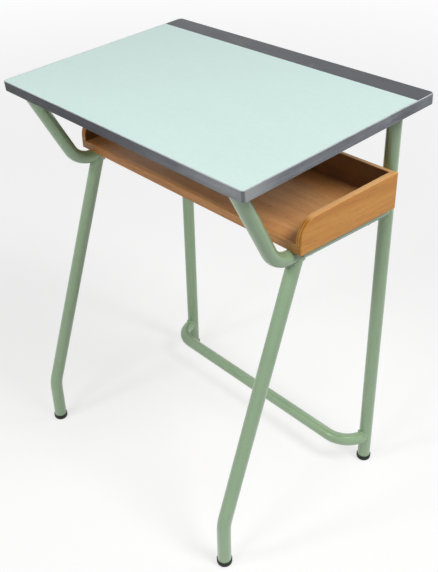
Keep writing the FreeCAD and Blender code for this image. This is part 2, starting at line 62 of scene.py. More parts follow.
def addNode(tree, kind, inputs=None, **settings):
    node = tree.nodes.new(kind)
    for name, setting in settings.items():
        setattr(node, name, setting)
    for name, source in (inputs or {}).items():
        feed(tree, node.inputs[name], source)
    return node


def mixColours(tree, amount, first, second):
    # the mix node keeps its two colours at places 6 and 7 and the mixed colour at place 2
    node = addNode(tree, "ShaderNodeMix", {0: amount, 6: first, 7: second}, data_type="RGBA")
    return node.outputs[2]


def calculate(tree, operation, *sources, clamp=False):
    return addNode(tree, "ShaderNodeMath", dict(enumerate(sources)), operation=operation,
                   use_clamp=clamp).outputs[0]


def aroundMiddle(tree, source):
    # noise lies around a half, and this lets it push to both sides
    return calculate(tree, "SUBTRACT", source, 0.5)


def stretchRange(tree, source, fromLow, fromHigh, toLow=0.0, toHigh=1.0):
    return addNode(tree, "ShaderNodeMapRange",
                   {"Value": source, "From Min": fromLow, "From Max": fromHigh,
                    "To Min": toLow, "To Max": toHigh},
                   interpolation_type="SMOOTHSTEP").outputs["Result"]


def noise(tree, place, scale, detail, roughness=0.55):
    return addNode(tree, "ShaderNodeTexNoise",
                   {"Vector": place, "Scale": scale, "Detail": detail,
                    "Roughness": roughness}).outputs["Fac"]


def layeredNoise(tree, place, layer):
    # a layer gives the noise in each metre along X, Y and Z, its detail and its roughness
    perMetre, detail, roughness = layer
    return noise(tree, scaled(tree, place, perMetre), 1.0, detail, roughness)


def turned(tree, place, angles):
    return addNode(tree, "ShaderNodeMapping",
                   {"Vector": place,
                    "Rotation": [math.radians(angle) for angle in angles]}).outputs[0]


def scaled(tree, place, factors):
    return addNode(tree, "ShaderNodeMapping", {"Vector": place, "Scale": factors}).outputs[0]


def split(tree, vector):
    return addNode(tree, "ShaderNodeSeparateXYZ", {"Vector": vector}).outputs


def faceDirection(tree):
    return tree.nodes.new("ShaderNodeNewGeometry").outputs["True Normal"]


def newGroup(name, takeRows, giveRows):
    group = bpy.data.node_groups.new(name, "ShaderNodeTree")
    for label, kind, start in takeRows:
        socket = group.interface.new_socket(name=label, in_out="INPUT", socket_type=kind)
        if start is not None:
            socket.default_value = start
    for label, kind in giveRows:
        group.interface.new_socket(name=label, in_out="OUTPUT", socket_type=kind)
    takes = group.nodes.new("NodeGroupInput").outputs
    gives = group.nodes.new("NodeGroupOutput").inputs
    return group, takes, gives


def useGroup(tree, group, inputs):
    return addNode(tree, "ShaderNodeGroup", inputs, node_tree=group).outputs


floatSocket, colourSocket, vectorSocket = "NodeSocketFloat", "NodeSocketColor", "NodeSocketVector"


# effects that several finishes share

mottleLook = {
    # the detail and the roughness of the noise
    "patches": (4.0, 0.6),
    "specks": (3.0, 0.7),
}


def makeMottleGroup():
    # soft patches and a fine speckle, as in a pressed or rolled sheet
    group, takes, gives = newGroup(
        "mottle",
        [("Place", vectorSocket, None), ("Patches per metre", floatSocket, 20.0),
         ("Specks per metre", floatSocket, 400.0), ("Patch strength", floatSocket, 0.5),
         ("Speck strength", floatSocket, 0.5)],
        [("Shade", floatSocket), ("Height", floatSocket)])
    patches = noise(group, takes["Place"], takes["Patches per metre"], *mottleLook["patches"])
    specks = noise(group, takes["Place"], takes["Specks per metre"], *mottleLook["specks"])
    patchPart = calculate(group, "MULTIPLY", aroundMiddle(group, patches),
                          takes["Patch strength"])
    speckPart = calculate(group, "MULTIPLY", aroundMiddle(group, specks),
                          takes["Speck strength"])
    total = calculate(group, "ADD", patchPart, speckPart)
    group.links.new(calculate(group, "ADD", total, 0.5, clamp=True), gives["Shade"])
    group.links.new(specks, gives["Height"])
    return group


scratchLook = {
    # how a family of scratches is turned, and how far it is drawn out along its own direction
    "families": (((0, 0, 24), (0.06, 1.0, 1.0)),
                 ((0, 0, -51), (0.09, 1.0, 1.0))),
    "lineWidth": 0.012,         # as a share of the distance between scratches
    "gapDetail": 2.0,
    "gapRange": (0.52, 0.62),   # the noise between which a scratch fades in
}


def makeScratchGroup():
    # thin, nearly straight scratches in two families of directions
    group, takes, gives = newGroup(
        "scratches",
        [("Place", vectorSocket, None), ("Per metre", floatSocket, 30.0),
         ("Amount", floatSocket, 0.3)],
        [("Mask", floatSocket)])
    lines = []
    for turn, stretch in scratchLook["families"]:
        place = scaled(group, turned(group, takes["Place"], turn), stretch)
        cells = addNode(group, "ShaderNodeTexVoronoi",
                        {"Vector": place, "Scale": takes["Per metre"], "Randomness": 1.0},
                        feature="DISTANCE_TO_EDGE")
        line = stretchRange(group, cells.outputs["Distance"], scratchLook["lineWidth"], 0.0)
        gaps = noise(group, place, takes["Per metre"], scratchLook["gapDetail"])
        gate = stretchRange(group, gaps, *scratchLook["gapRange"])
        lines.append(calculate(group, "MULTIPLY", line, gate))
    total = calculate(group, "MAXIMUM", *lines)
    group.links.new(calculate(group, "MULTIPLY", total, takes["Amount"]), gives["Mask"])
    return group


grainLook = {
    # layers of noise, coarse along the grain and fine across it
    "drift": ((2.5, 5.0, 5.0), 2.0, 0.55),
    "bands": ((2.4, 60.0, 60.0), 3.0, 0.5),
    "streaks": ((14.0, 420.0, 420.0), 3.0, 0.65),
    "pores": ((90.0, 1500.0, 1500.0), 1.0, 0.5),
    "flecks": ((75.0, 520.0, 520.0), 2.0, 0.6),
    "driftWidth": 0.035,
    "bandRange": (0.36, 0.66),
    "streakRange": (0.46, 0.72),
    "poreRange": (0.58, 0.74),
    "fleckRange": (0.60, 0.78),
    "fleckStrength": 0.7,
    "plainRoughness": 0.42,
    "poreRoughness": 0.25,
    "streakRoughness": 0.1,
    "streakHeight": 0.3,
}


def makeWoodGroup():
    # straight-grained timber: X of Place runs along the grain
    group, takes, gives = newGroup(
        "woodGrain",
        [("Place", vectorSocket, None), ("Light wood", colourSocket, (0.5, 0.3, 0.1, 1)),
         ("Middle wood", colourSocket, (0.4, 0.2, 0.08, 1)),
         ("Dark wood", colourSocket, (0.2, 0.1, 0.04, 1)), ("Band strength", floatSocket, 0.6),
         ("Pore strength", floatSocket, 0.5)],
        [("Colour", colourSocket), ("Roughness", floatSocket), ("Height", floatSocket)])
    # slow waves let the grain drift sideways a little
    drift = aroundMiddle(group, layeredNoise(group, takes["Place"], grainLook["drift"]))
    sway = calculate(group, "MULTIPLY", drift, grainLook["driftWidth"])
    shift = addNode(group, "ShaderNodeCombineXYZ", {"X": 0.0, "Y": sway, "Z": sway}).outputs[0]
    place = addNode(group, "ShaderNodeVectorMath", {0: takes["Place"], 1: shift},
                    operation="ADD").outputs[0]
    bands, streaks, pores, flecks = (layeredNoise(group, place, grainLook[layer])
                                     for layer in ("bands", "streaks", "pores", "flecks"))
    body = mixColours(group, stretchRange(group, bands, *grainLook["bandRange"]),
                      takes["Light wood"], takes["Middle wood"])
    streakMask = stretchRange(group, streaks, *grainLook["streakRange"])
    streakMask = calculate(group, "MULTIPLY", streakMask, takes["Band strength"])
    body = mixColours(group, streakMask, body, takes["Dark wood"])
    poreMask = stretchRange(group, pores, *grainLook["poreRange"])
    fleckMask = stretchRange(group, flecks, *grainLook["fleckRange"])
    fleckMask = calculate(group, "MULTIPLY", fleckMask, grainLook["fleckStrength"])
    poreMask = calculate(group, "MAXIMUM", poreMask, fleckMask)
    poreMask = calculate(group, "MULTIPLY", poreMask, takes["Pore strength"])
    group.links.new(mixColours(group, poreMask, body, takes["Dark wood"]), gives["Colour"])
    rough = calculate(group, "MULTIPLY_ADD", poreMask, grainLook["poreRoughness"],
                      grainLook["plainRoughness"])
    rough = calculate(group, "MULTIPLY_ADD", streaks, grainLook["streakRoughness"], rough)
    group.links.new(rough, gives["Roughness"])
    height = calculate(group, "MULTIPLY", streaks, grainLook["streakHeight"])
    group.links.new(calculate(group, "SUBTRACT", height, poreMask), gives["Height"])
    return group


mottle = makeMottleGroup()
scratches = makeScratchGroup()
woodGrain = makeWoodGroup()
print("shared effects made")


# the finish of each piece; "surface" gives the shader's plain settings, "roughness" the two ends
# of what varies and "bump" its depth and strength

def newFinish(name, surface):
    material = bpy.data.materials.new(name)
    material.use_nodes = True
    tree = material.node_tree
    shader = tree.nodes["Principled BSDF"]
    for setting, level in surface.items():
        shader.inputs[setting].default_value = level
    place = tree.nodes.new("ShaderNodeTexCoord").outputs["Object"]
    return material, tree, shader.inputs, place


def addBump(tree, shader, height, depth, strength):
    bump = addNode(tree, "ShaderNodeBump", {"Height": height, "Distance": depth,
                                            "Strength": strength})
    tree.links.new(bump.outputs[0], shader["Normal"])


def addMottle(tree, place, look):
    return useGroup(tree, mottle, {"Place": place, "Patches per metre": look["patches"],
                                   "Specks per metre": look["specks"],
                                   "Patch strength": look["patchStrength"],
                                   "Speck strength": look["speckStrength"]})


def addScratches(tree, place, look):
    return useGroup(tree, scratches, {"Place": place, "Per metre": look["scratches"],
                                      "Amount": look["scratchAmount"]})["Mask"]


mottleRange = (0.2, 0.8)        # between these two shades the gloss changes


def mottledRoughness(tree, shade, look):
    return stretchRange(tree, shade["Shade"], *mottleRange, *look["roughness"])


def coverWith(tree, shader, colour, shade, look):
    # the mottle that tints the colour also varies the gloss and the relief
    tree.links.new(colour, shader["Base Color"])
    tree.links.new(mottledRoughness(tree, shade, look), shader["Roughness"])
    addBump(tree, shader, shade["Height"], *look["bump"])


topSlope = 4.1


def layFlat(tree, place):
    # the place along the sloping top, with X and Y in its plane
    return turned(tree, place, (-topSlope, 0, 0))


mintLook = {
    "surface": {"IOR": 1.5},
    "pale": fromScreen(210, 232, 227),
    "deep": fromScreen(200, 225, 218),
    "patches": 9.0,
    "specks": 230.0,
    "patchStrength": 0.9,
    "speckStrength": 1.5,
    "fibreStretch": (0.35, 1.0, 1.0),
    "scratched": fromScreen(228, 240, 235),
    "scratches": 26.0,
    "scratchAmount": 0.1,
    "scratchRoughness": 0.3,
    # the colour of the painted shade along the metal band
    "grooveShade": fromScreen(96, 104, 102),
    "grooveShadeWidth": 0.0004,
    "sideEdge": 0.3084,
    "frontEdge": -0.14143,      # measured along the slope
    "roughness": (0.40, 0.48),
    "bump": (0.00003, 0.4),
}


def makeMintLaminate():
    look = mintLook
    material, tree, shader, place = newFinish("mintLaminate", look["surface"])
    flat = layFlat(tree, place)
    # the printed paper under the resin has short fibres that lie mostly along the desk
    shade = addMottle(tree, scaled(tree, flat, look["fibreStretch"]), look)
    colour = mixColours(tree, shade["Shade"], look["deep"], look["pale"])
    marks = addScratches(tree, flat, look)
    colour = mixColours(tree, marks, colour, look["scratched"])
    # a thin dark line along the metal band is painted shade, for the groove between the laminate
    # and the band
    parts = split(tree, flat)
    grooveShade = calculate(tree, "MAXIMUM",
                     calculate(tree, "GREATER_THAN", calculate(tree, "ABSOLUTE", parts["X"]),
                               look["sideEdge"] - look["grooveShadeWidth"]),
                     calculate(tree, "LESS_THAN", parts["Y"],
                               look["frontEdge"] + look["grooveShadeWidth"]))
    tree.links.new(mixColours(tree, grooveShade, colour, look["grooveShade"]), shader["Base Color"])
    rough = calculate(tree, "MULTIPLY_ADD", marks, look["scratchRoughness"],
                      mottledRoughness(tree, shade, look))
    tree.links.new(rough, shader["Roughness"])
    addBump(tree, shader, shade["Height"], *look["bump"])
    return material


stripLook = {
    "surface": {"IOR": 1.45},
    "pale": fromScreen(56, 59, 65),
    "deep": fromScreen(43, 45, 51),
    "patches": 22.0,
    "specks": 380.0,
    "patchStrength": 1.4,
    "speckStrength": 1.2,
    "fibreStretch": (0.5, 1, 1),
    "scratched": fromScreen(150, 151, 153),
    "scratches": 30.0,
    "scratchAmount": 0.18,
    "roughness": (0.32, 0.42),
    "bump": (0.00004, 0.4),
}


def makeStripLaminate():
    look = stripLook
    material, tree, shader, place = newFinish("greyLaminate", look["surface"])
    flat = scaled(tree, layFlat(tree, place), look["fibreStretch"])
    shade = addMottle(tree, flat, look)
    colour = mixColours(tree, shade["Shade"], look["deep"], look["pale"])
    colour = mixColours(tree, addScratches(tree, flat, look), colour, look["scratched"])
    coverWith(tree, shader, colour, shade, look)
    return material


bandLook = {
    "surface": {"Metallic": 0.9},
    "pale": fromScreen(132, 135, 140),
    "deep": fromScreen(92, 95, 100),
    "patches": 16.0,
    "specks": 700.0,
    "patchStrength": 1.0,
    "speckStrength": 1.2,
    "fineLines": ((60.0, 60.0, 1500.0), 4.0, 0.7),
    "fineStrength": 1.4,
    "broadLines": ((9.0, 9.0, 260.0), 2.0, 0.5),
    "broadStrength": 0.9,
    # the colour of the painted shade on the front face and at the rounded corners
    "paintedShade": fromScreen(57, 58, 63),
    "paintedShadeFacing": (-0.6, -0.9),          # how squarely a face looks at the sitter
    "paintedShadeAlong": (0.26, -0.05),
    "paintedShadeAmount": 0.85,
    # the colour of the painted highlight near the front right corner
    "paleMark": fromScreen(176, 178, 178),
    "paintedHighlightAlong": (0.16, 0.30),
    "paintedHighlightAcross": (-0.10, -0.20),
    "paintedHighlightFacing": (0.2, 0.8, 0.4, 1.0),   # most on the face that looks to the right
    "paintedHighlightAmount": 0.55,
    "paintedCornerReflectionRange": (0.30, 0.46, 0.0, 0.6),
    # the colour of the painted highlight on the upper lip
    "lipHighlight": fromScreen(198, 201, 203),
    "lipTop": 0.7633,
    "lipDepth": 0.0005,
    "lipHighlightPatches": (0.1, 0.7, 0.55, 1.0),
    "roughness": (0.1, 0.9, 0.5, 0.36),     # from dark marks to pale ones
    "bump": (0.00005, 0.5),
}


def makeBandMetal():
    look = bandLook
    material, tree, shader, place = newFinish("rolledBand", look["surface"])
    flat = layFlat(tree, place)
    # rolling marks lie along the band, so they are only fine across its height
    fine = layeredNoise(tree, flat, look["fineLines"])
    broad = layeredNoise(tree, flat, look["broadLines"])
    level = calculate(tree, "MULTIPLY_ADD", aroundMiddle(tree, fine), look["fineStrength"],
                      addMottle(tree, place, look)["Shade"])
    level = calculate(tree, "MULTIPLY_ADD", aroundMiddle(tree, broad), look["broadStrength"],
                      level, clamp=True)
    metal = mixColours(tree, level, look["deep"], look["pale"])
    # painted shade darkens the face that looks at the sitter, most towards its left end
    parts = split(tree, place)
    facing = split(tree, faceDirection(tree))
    paintedShade = calculate(tree, "MULTIPLY",
                        stretchRange(tree, facing["Y"], *look["paintedShadeFacing"]),
                        stretchRange(tree, parts["X"], *look["paintedShadeAlong"]))
    paintedShade = calculate(tree, "MULTIPLY", paintedShade, look["paintedShadeAmount"])
    metal = mixColours(tree, paintedShade, metal, look["paintedShade"])
    # a painted highlight brightens the band near its front right corner
    paleMark = calculate(tree, "MULTIPLY", stretchRange(tree, parts["X"], *look["paintedHighlightAlong"]),
                       stretchRange(tree, parts["Y"], *look["paintedHighlightAcross"]))
    paleMark = calculate(tree, "MULTIPLY", paleMark,
                       stretchRange(tree, facing["X"], *look["paintedHighlightFacing"]))
    paleMark = calculate(tree, "MULTIPLY", paleMark, look["paintedHighlightAmount"])
    metal = mixColours(tree, paleMark, metal, look["paleMark"])
    # the rounded corners are darkened as a painted dark reflection, in the colour of the painted
    # shade
    paintedCornerReflection = calculate(tree, "ABSOLUTE", calculate(tree, "MULTIPLY", facing["X"], facing["Y"]))
    paintedCornerReflection = stretchRange(tree, paintedCornerReflection, *look["paintedCornerReflectionRange"])
    metal = mixColours(tree, paintedCornerReflection, metal, look["paintedShade"])
    # a painted highlight brightens the band's upper lip, patchy along with the rolling marks
    lipHighlight = stretchRange(tree, split(tree, flat)["Z"], look["lipTop"] - look["lipDepth"],
                       look["lipTop"])
    lipHighlight = calculate(tree, "MULTIPLY", lipHighlight, stretchRange(tree, level, *look["lipHighlightPatches"]))
    tree.links.new(mixColours(tree, lipHighlight, metal, look["lipHighlight"]), shader["Base Color"])
    tree.links.new(stretchRange(tree, level, *look["roughness"]), shader["Roughness"])
    addBump(tree, shader, level, *look["bump"])
    return material


paintLook = {
    "surface": {"Coat Weight": 0.8, "Coat Roughness": 0.07, "IOR": 1.5},
    "pale": fromScreen(155, 185, 147),
    "deep": fromScreen(143, 174, 134),
    "patches": 26.0,
    "specks": 330.0,
    "patchStrength": 1.2,
    "speckStrength": 0.5,
    "paleMark": fromScreen(172, 200, 164),
    "scratches": 45.0,
    "scratchAmount": 0.35,
    "roughness": (0.30, 0.38),
    "peel": (420.0, 1.5),       # noise in each metre and its detail
    "bump": (0.00005, 0.35),
}


def makeGreenPaint():
    look = paintLook
    material, tree, shader, place = newFinish("sagePaint", look["surface"])
    shade = addMottle(tree, place, look)
    colour = mixColours(tree, shade["Shade"], look["deep"], look["pale"])
    colour = mixColours(tree, addScratches(tree, place, look), colour, look["paleMark"])
    tree.links.new(colour, shader["Base Color"])
    tree.links.new(mottledRoughness(tree, shade, look), shader["Roughness"])
    # sprayed paint dries with a faint orange peel
    addBump(tree, shader, noise(tree, place, *look["peel"]), *look["bump"])
    return material


trayLook = {
    "surface": {"Coat Weight": 0.08, "Coat Roughness": 0.3},
    # "plies" gives the axis across the board, where the board's face lies on it and the board's
    # thickness; the two after it give the share of painted shade on the inner faces, first at the
    # tray's front and at its back, then in its left part
    "boards": {
        "sides": {"light": fromScreen(226, 158, 71), "middle": fromScreen(212, 141, 58),
                  "dark": fromScreen(155, 92, 38), "grainTurn": (0, 0, -90),
                  "plies": ("X", 0.279, 0.012), "shadeShares": (0.95, 0.95), "leftShade": 0.0},
        "floor": {"light": fromScreen(222, 163, 100), "middle": fromScreen(208, 146, 86),
                  "dark": fromScreen(145, 92, 52), "grainTurn": (0, 0, 0),
                  "plies": None, "shadeShares": (0.0, 0.7), "leftShade": 0.55},
        "strip": {"light": fromScreen(200, 144, 84), "middle": fromScreen(176, 118, 62),
                  "dark": fromScreen(96, 56, 28), "grainTurn": (0, 0, 0),
                  "plies": None, "shadeShares": (0.0, 0.0), "leftShade": 0.0},
        # the back board's colours are darker than the sides', as painted shade for its inner face
        # under the top
        "back": {"light": fromScreen(190, 134, 66), "middle": fromScreen(174, 116, 52),
                 "dark": fromScreen(124, 70, 32), "grainTurn": (0, 0, 0),
                 "plies": ("Y", 0.1585, 0.009), "shadeShares": (0.0, 0.7), "leftShade": 0.0},
    },
    "bandStrength": 0.32,
    "poreStrength": 0.42,
    "rim": fromScreen(242, 189, 126),
    "rimFacing": (0.8, 0.99),       # how squarely a face looks up
    "rimWear": 0.85,
    "plyEdge": fromScreen(126, 78, 40),
    "plyCount": 5,
    "plyRange": (-0.2, -0.8),
    "plyStrength": 0.55,
    "plyLeftOnRim": 0.35,
    # the dark colour of the painted shade inside the tray, which the ink spots share
    "shadeAndSpots": fromScreen(74, 36, 12),
    "shadeToBack": (0.10, 0.162),
    "shadeToLeft": (0.20, 0.05),
    "shadePatches": (16.0, 3.0, 0.6),    # noise in each metre, its detail and its roughness
    "shadePatchRange": (0.3, 0.7, 0.8, 1.0),
    "inwardFacing": (0.8, 0.95),
    "spots": (90.0, 2.0, 0.5),
    "spotRange": (0.71, 0.77),
    "spotStrength": 0.4,
    "bump": (0.0001, 0.5),
}


def makeTrayWood(name, board, inward=None):
    # inward is the direction in which the board's inner face looks
    look = trayLook
    wood = look["boards"][board]
    material, tree, shader, place = newFinish(name, look["surface"])
    grain = useGroup(tree, woodGrain, {"Place": turned(tree, place, wood["grainTurn"]),
                                       "Light wood": wood["light"],
                                       "Middle wood": wood["middle"],
                                       "Dark wood": wood["dark"],
                                       "Band strength": look["bandStrength"],
                                       "Pore strength": look["poreStrength"]})
    colour = grain["Colour"]
    parts = split(tree, place)
    normal = faceDirection(tree)
    if wood["plies"]:
        # the upper rims are worn pale
        upward = split(tree, normal)["Z"]
        worn = stretchRange(tree, upward, *look["rimFacing"], 0.0, look["rimWear"])
        colour = mixColours(tree, worn, colour, look["rim"])
        # the cut edges show the sheet's plies, every other one end grain
        axis, face, thickness = wood["plies"]
        depth = calculate(tree, "SUBTRACT", calculate(tree, "ABSOLUTE", parts[axis]), face)
        wave = calculate(tree, "MULTIPLY_ADD", depth, look["plyCount"] * math.pi / thickness,
                         -math.pi / 2)
        plyMask = stretchRange(tree, calculate(tree, "COSINE", wave), *look["plyRange"], 0.0,
                               look["plyStrength"])
        onRim = stretchRange(tree, upward, *look["rimFacing"], 1.0, look["plyLeftOnRim"])
        plyMask = calculate(tree, "MULTIPLY", plyMask, onRim)
        colour = mixColours(tree, plyMask, colour, look["plyEdge"])
    if inward:
        # painted shade darkens the boards' inner faces, by each board's shares towards the back
        # and the left, in soft patches
        shadeAndSpots = calculate(tree, "MAXIMUM",
                         stretchRange(tree, parts["Y"], *look["shadeToBack"], *wood["shadeShares"]),
                         stretchRange(tree, parts["X"], *look["shadeToLeft"], 0.0,
                                      wood["leftShade"]))
        patches = noise(tree, place, *look["shadePatches"])
        shadeAndSpots = calculate(tree, "MULTIPLY", shadeAndSpots,
                         stretchRange(tree, patches, *look["shadePatchRange"]))
        facing = addNode(tree, "ShaderNodeVectorMath", {0: normal, 1: inward},
                         operation="DOT_PRODUCT").outputs["Value"]
        shadeAndSpots = calculate(tree, "MULTIPLY", shadeAndSpots,
                         stretchRange(tree, facing, *look["inwardFacing"]))
        colour = mixColours(tree, shadeAndSpots, colour, look["shadeAndSpots"])
    # a few small ink spots
    spots = stretchRange(tree, noise(tree, place, *look["spots"]), *look["spotRange"])
    spots = calculate(tree, "MULTIPLY", spots, look["spotStrength"])
    tree.links.new(mixColours(tree, spots, colour, look["shadeAndSpots"]), shader["Base Color"])
    tree.links.new(grain["Roughness"], shader["Roughness"])
    addBump(tree, shader, grain["Height"], *look["bump"])
    return material


coreLook = {
    "surface": {"Roughness": 0.8},
    "pale": fromScreen(196, 164, 120),
    "deep": fromScreen(146, 112, 74),
    "chipsPerMetre": (90, 220, 400),
    "chipRange": (0.1, 0.9),
    "bump": (0.0002, 0.5),
}


def makeParticleBoard():
    look = coreLook
    material, tree, shader, place = newFinish("coreBoard", look["surface"])
    chips = addNode(tree, "ShaderNodeTexVoronoi",
                    {"Vector": scaled(tree, place, look["chipsPerMetre"]),
                     "Scale": 1.0}).outputs["Distance"]
    shade = stretchRange(tree, chips, *look["chipRange"])
    tree.links.new(mixColours(tree, shade, look["pale"], look["deep"]), shader["Base Color"])
    addBump(tree, shader, chips, *look["bump"])
    return material


backingLook = {
    "surface": {"IOR": 1.45},
    "pale": fromScreen(212, 206, 194),
    "deep": fromScreen(188, 180, 166),
    "patches": 12.0,
    "specks": 300.0,
    "patchStrength": 1.2,
    "speckStrength": 1.4,
    "fibreStretch": (0.4, 1, 1),
    "roughness": (0.5, 0.62),
    "bump": (0.00006, 0.5),
}


def makeBackingSheet():
    look = backingLook
    material, tree, shader, place = newFinish("backingSheet", look["surface"])
    flat = scaled(tree, layFlat(tree, place), look["fibreStretch"])
    shade = addMottle(tree, flat, look)
    colour = mixColours(tree, shade["Shade"], look["deep"], look["pale"])
    coverWith(tree, shader, colour, shade, look)
    return material


footLook = {
    "surface": {"IOR": 1.4},
    "pale": fromScreen(24, 24, 25),
    "deep": fromScreen(11, 11, 12),
    "patches": 120.0,
    "specks": 1500.0,
    "patchStrength": 1.6,
    "speckStrength": 1.0,
    "dust": fromScreen(92, 90, 86),
    "dustHeights": (0.005, 0.0005),
    "roughness": (0.38, 0.55),
    "bump": (0.00004, 0.5),
}


def makeBlackPlastic():
    look = footLook
    material, tree, shader, place = newFinish("blackPlastic", look["surface"])
    shade = addMottle(tree, place, look)
    colour = mixColours(tree, shade["Shade"], look["deep"], look["pale"])
    # dust and floor wax lie in the lowest few millimetres
    dusty = stretchRange(tree, split(tree, place)["Z"], *look["dustHeights"])
    dusty = calculate(tree, "MULTIPLY", dusty, shade["Shade"])
    coverWith(tree, shader, mixColours(tree, dusty, colour, look["dust"]), shade, look)
    return material


zincLook = {
    "surface": {"Metallic": 0.95},
    "pale": fromScreen(206, 204, 196),
    "deep": fromScreen(150, 148, 140),
    "patches": 300.0,
    "specks": 2200.0,
    "patchStrength": 1.8,
    "speckStrength": 1.0,
    "roughness": (0.42, 0.26),
    "bump": (0.00003, 0.4),
}


def makeZincSteel():
    look = zincLook
    material, tree, shader, place = newFinish("zincSteel", look["surface"])
    shade = addMottle(tree, place, look)
    colour = mixColours(tree, shade["Shade"], look["deep"], look["pale"])
    coverWith(tree, shader, colour, shade, look)
    return material


def dress(nodeName, material):
    for slot in nodes[nodeName].material_slots:
        slot.material = material


sagePaint = makeGreenPaint()
blackPlastic = makeBlackPlastic()
zincSteel = makeZincSteel()

dress("writing_surface", makeMintLaminate())
dress("pen_strip", makeStripLaminate())
dress("edge_band", makeBandMetal())
dress("top_core", makeParticleBoard())
dress("balancing_sheet", makeBackingSheet())
dress("top_screws", zincSteel)
dress("tray_screws", zincSteel)
dress("stretcher", sagePaint)
dress("tray_floor", makeTrayWood("trayWoodFloor", "floor", (0, 0, 1)))
dress("tray_front_strip", makeTrayWood("trayWoodStrip", "strip"))
dress("tray_back", makeTrayWood("trayWoodBack", "back", (0, -1, 0)))
for side, inward in (("left", (1, 0, 0)), ("right", (-1, 0, 0))):
    for tube in ("arm", "front_leg", "rear_leg", "front_plate", "rear_plate"):
        dress(side + "_" + tube, sagePaint)
    dress("tray_" + side + "_side", makeTrayWood("trayWood" + side.title(), "sides", inward))
    for end in ("front", "rear"):
        dress(side + "_" + end + "_foot", blackPlastic)
print("finishes made and applied")


# where the frame's tubes meet, for the weld beads
frameTubes = {
    "halfSpacing": 0.266,
    "tubeRadius": 0.0125,
    "stretcherRadius": 0.012,
    "rearLegY": 0.180,
    "railHeight": 0.576,
    "armCornerY": -0.08894,
    "armTopY": -0.17094,
    "frontWeldY": -0.04094,
    "frontFootY": -0.20494,
    "kneeHeight": 0.097,
    "stretcherHeight": 0.061,
    "stretcherTurn": 11,        # it is already turning inward where it meets the rear leg
    "stretcherShift": 0.0009,
    "halfPlate": 0.0015,
}

weldLook = {
    "leg": 0.0027,
    "plateLeg": 0.0015,
    "bulge": 0.4,               # as a share of the bead's size, like the root's depth
    "rootDepth": 0.2,
    "skinSteps": 6,
    "pathAllowance": 1.2,       # the joint's line is longer than the tube's round
    "rippleLength": 0.0019,
    "rippleDepth": 0.00016,
    "stepsPerRipple": 5,
    "unevenShare": 0.12,
    "unevenPace": 0.37,
    "unevenStart": 900,         # times the tube's radius
    "endSize": 0.25,
    "endGrowth": 0.5,           # in each ripple from an open end
    "stopShort": 0.003,         # the bead keeps this far from the middle of the other tube
    "railArc": (-50, 230),
}


def crossing(start, direction, target):
    # how far along the tube its surface line meets the target, a round tube or a flat plate
    if target["kind"] == "plate":
        return (target["point"] - start).dot(target["normal"]) / direction.dot(target["normal"])
    axis = target["axis"]
    offset = start - target["point"]
    offset = offset - axis * offset.dot(axis)
    heading = direction - axis * direction.dot(axis)
    # the nearer root of a quadratic, or its turning point where the line passes by the tube
    a = heading.dot(heading)
    b = 2 * offset.dot(heading)
    c = offset.dot(offset) - target["radius"] ** 2
    discriminant = max(b * b - 4 * a * c, 0.0)
    return (-b - math.sqrt(discriminant)) / (2 * a)


def targetNormal(point, target):
    # a plate is met from below, a tube from outside
    if target["kind"] == "plate":
        return -target["normal"]
    offset = point - target["point"]
    offset = offset - target["axis"] * offset.dot(target["axis"])
    return offset.normalized()


def weldPath(tubePoint, direction, tubeRadius, target, stopShort, arc):
    # the points where the tube's end meets the target, each with the tube's outward direction
    across = Vector((1, 0, 0))
    across = (across - direction * across.dot(direction)).normalized()
    upward = direction.cross(across)
    first, last = arc or (0, 360)
    length = math.radians(last - first) * tubeRadius * weldLook["pathAllowance"]
    steps = int(length / weldLook["rippleLength"]) * weldLook["stepsPerRipple"]
    path = []
    for step in range(steps + (1 if arc else 0)):
        angle = math.radians(first + (last - first) * step / steps)
        outward = across * math.cos(angle) + upward * math.sin(angle)
        start = tubePoint + outward * tubeRadius
        along = min(crossing(start, direction, target), -stopShort)
        path.append((start + direction * along, outward))
    return path


def beadSize(step, count, leg, tubeRadius, closed):
    # the ripples of a hand weld, on a bead that is a little uneven and thins out at open ends
    perRipple = weldLook["stepsPerRipple"]
    size = leg + weldLook["rippleDepth"] * math.cos(2 * math.pi * step / perRipple)
    size += leg * weldLook["unevenShare"] * math.sin(step * weldLook["unevenPace"]
                                                     + tubeRadius * weldLook["unevenStart"])
    if not closed:
        ends = min(step, count - 1 - step) / perRipple
        size *= min(1.0, weldLook["endSize"] + ends * weldLook["endGrowth"])
    return size


def beadRing(shape, point, outward, tangent, direction, faceNormal, size):
    # one cross-section: a bulging skin from the tube to the target, then the root
    alongTube = -direction
    alongTube = (alongTube - tangent * alongTube.dot(tangent)).normalized()
    alongTarget = faceNormal.cross(tangent).normalized()
    if alongTarget.dot(outward) < 0:
        alongTarget = -alongTarget
    middle = (outward + faceNormal).normalized()
    ring = []
    for part in range(weldLook["skinSteps"] + 1):
        share = part / weldLook["skinSteps"]
        place = point + alongTube * size * (1 - share) + alongTarget * size * share
        place += middle * size * weldLook["bulge"] * math.sin(math.pi * share)
        ring.append(shape.verts.new(place))
    ring.append(shape.verts.new(point - middle * size * weldLook["rootDepth"]))
    return ring


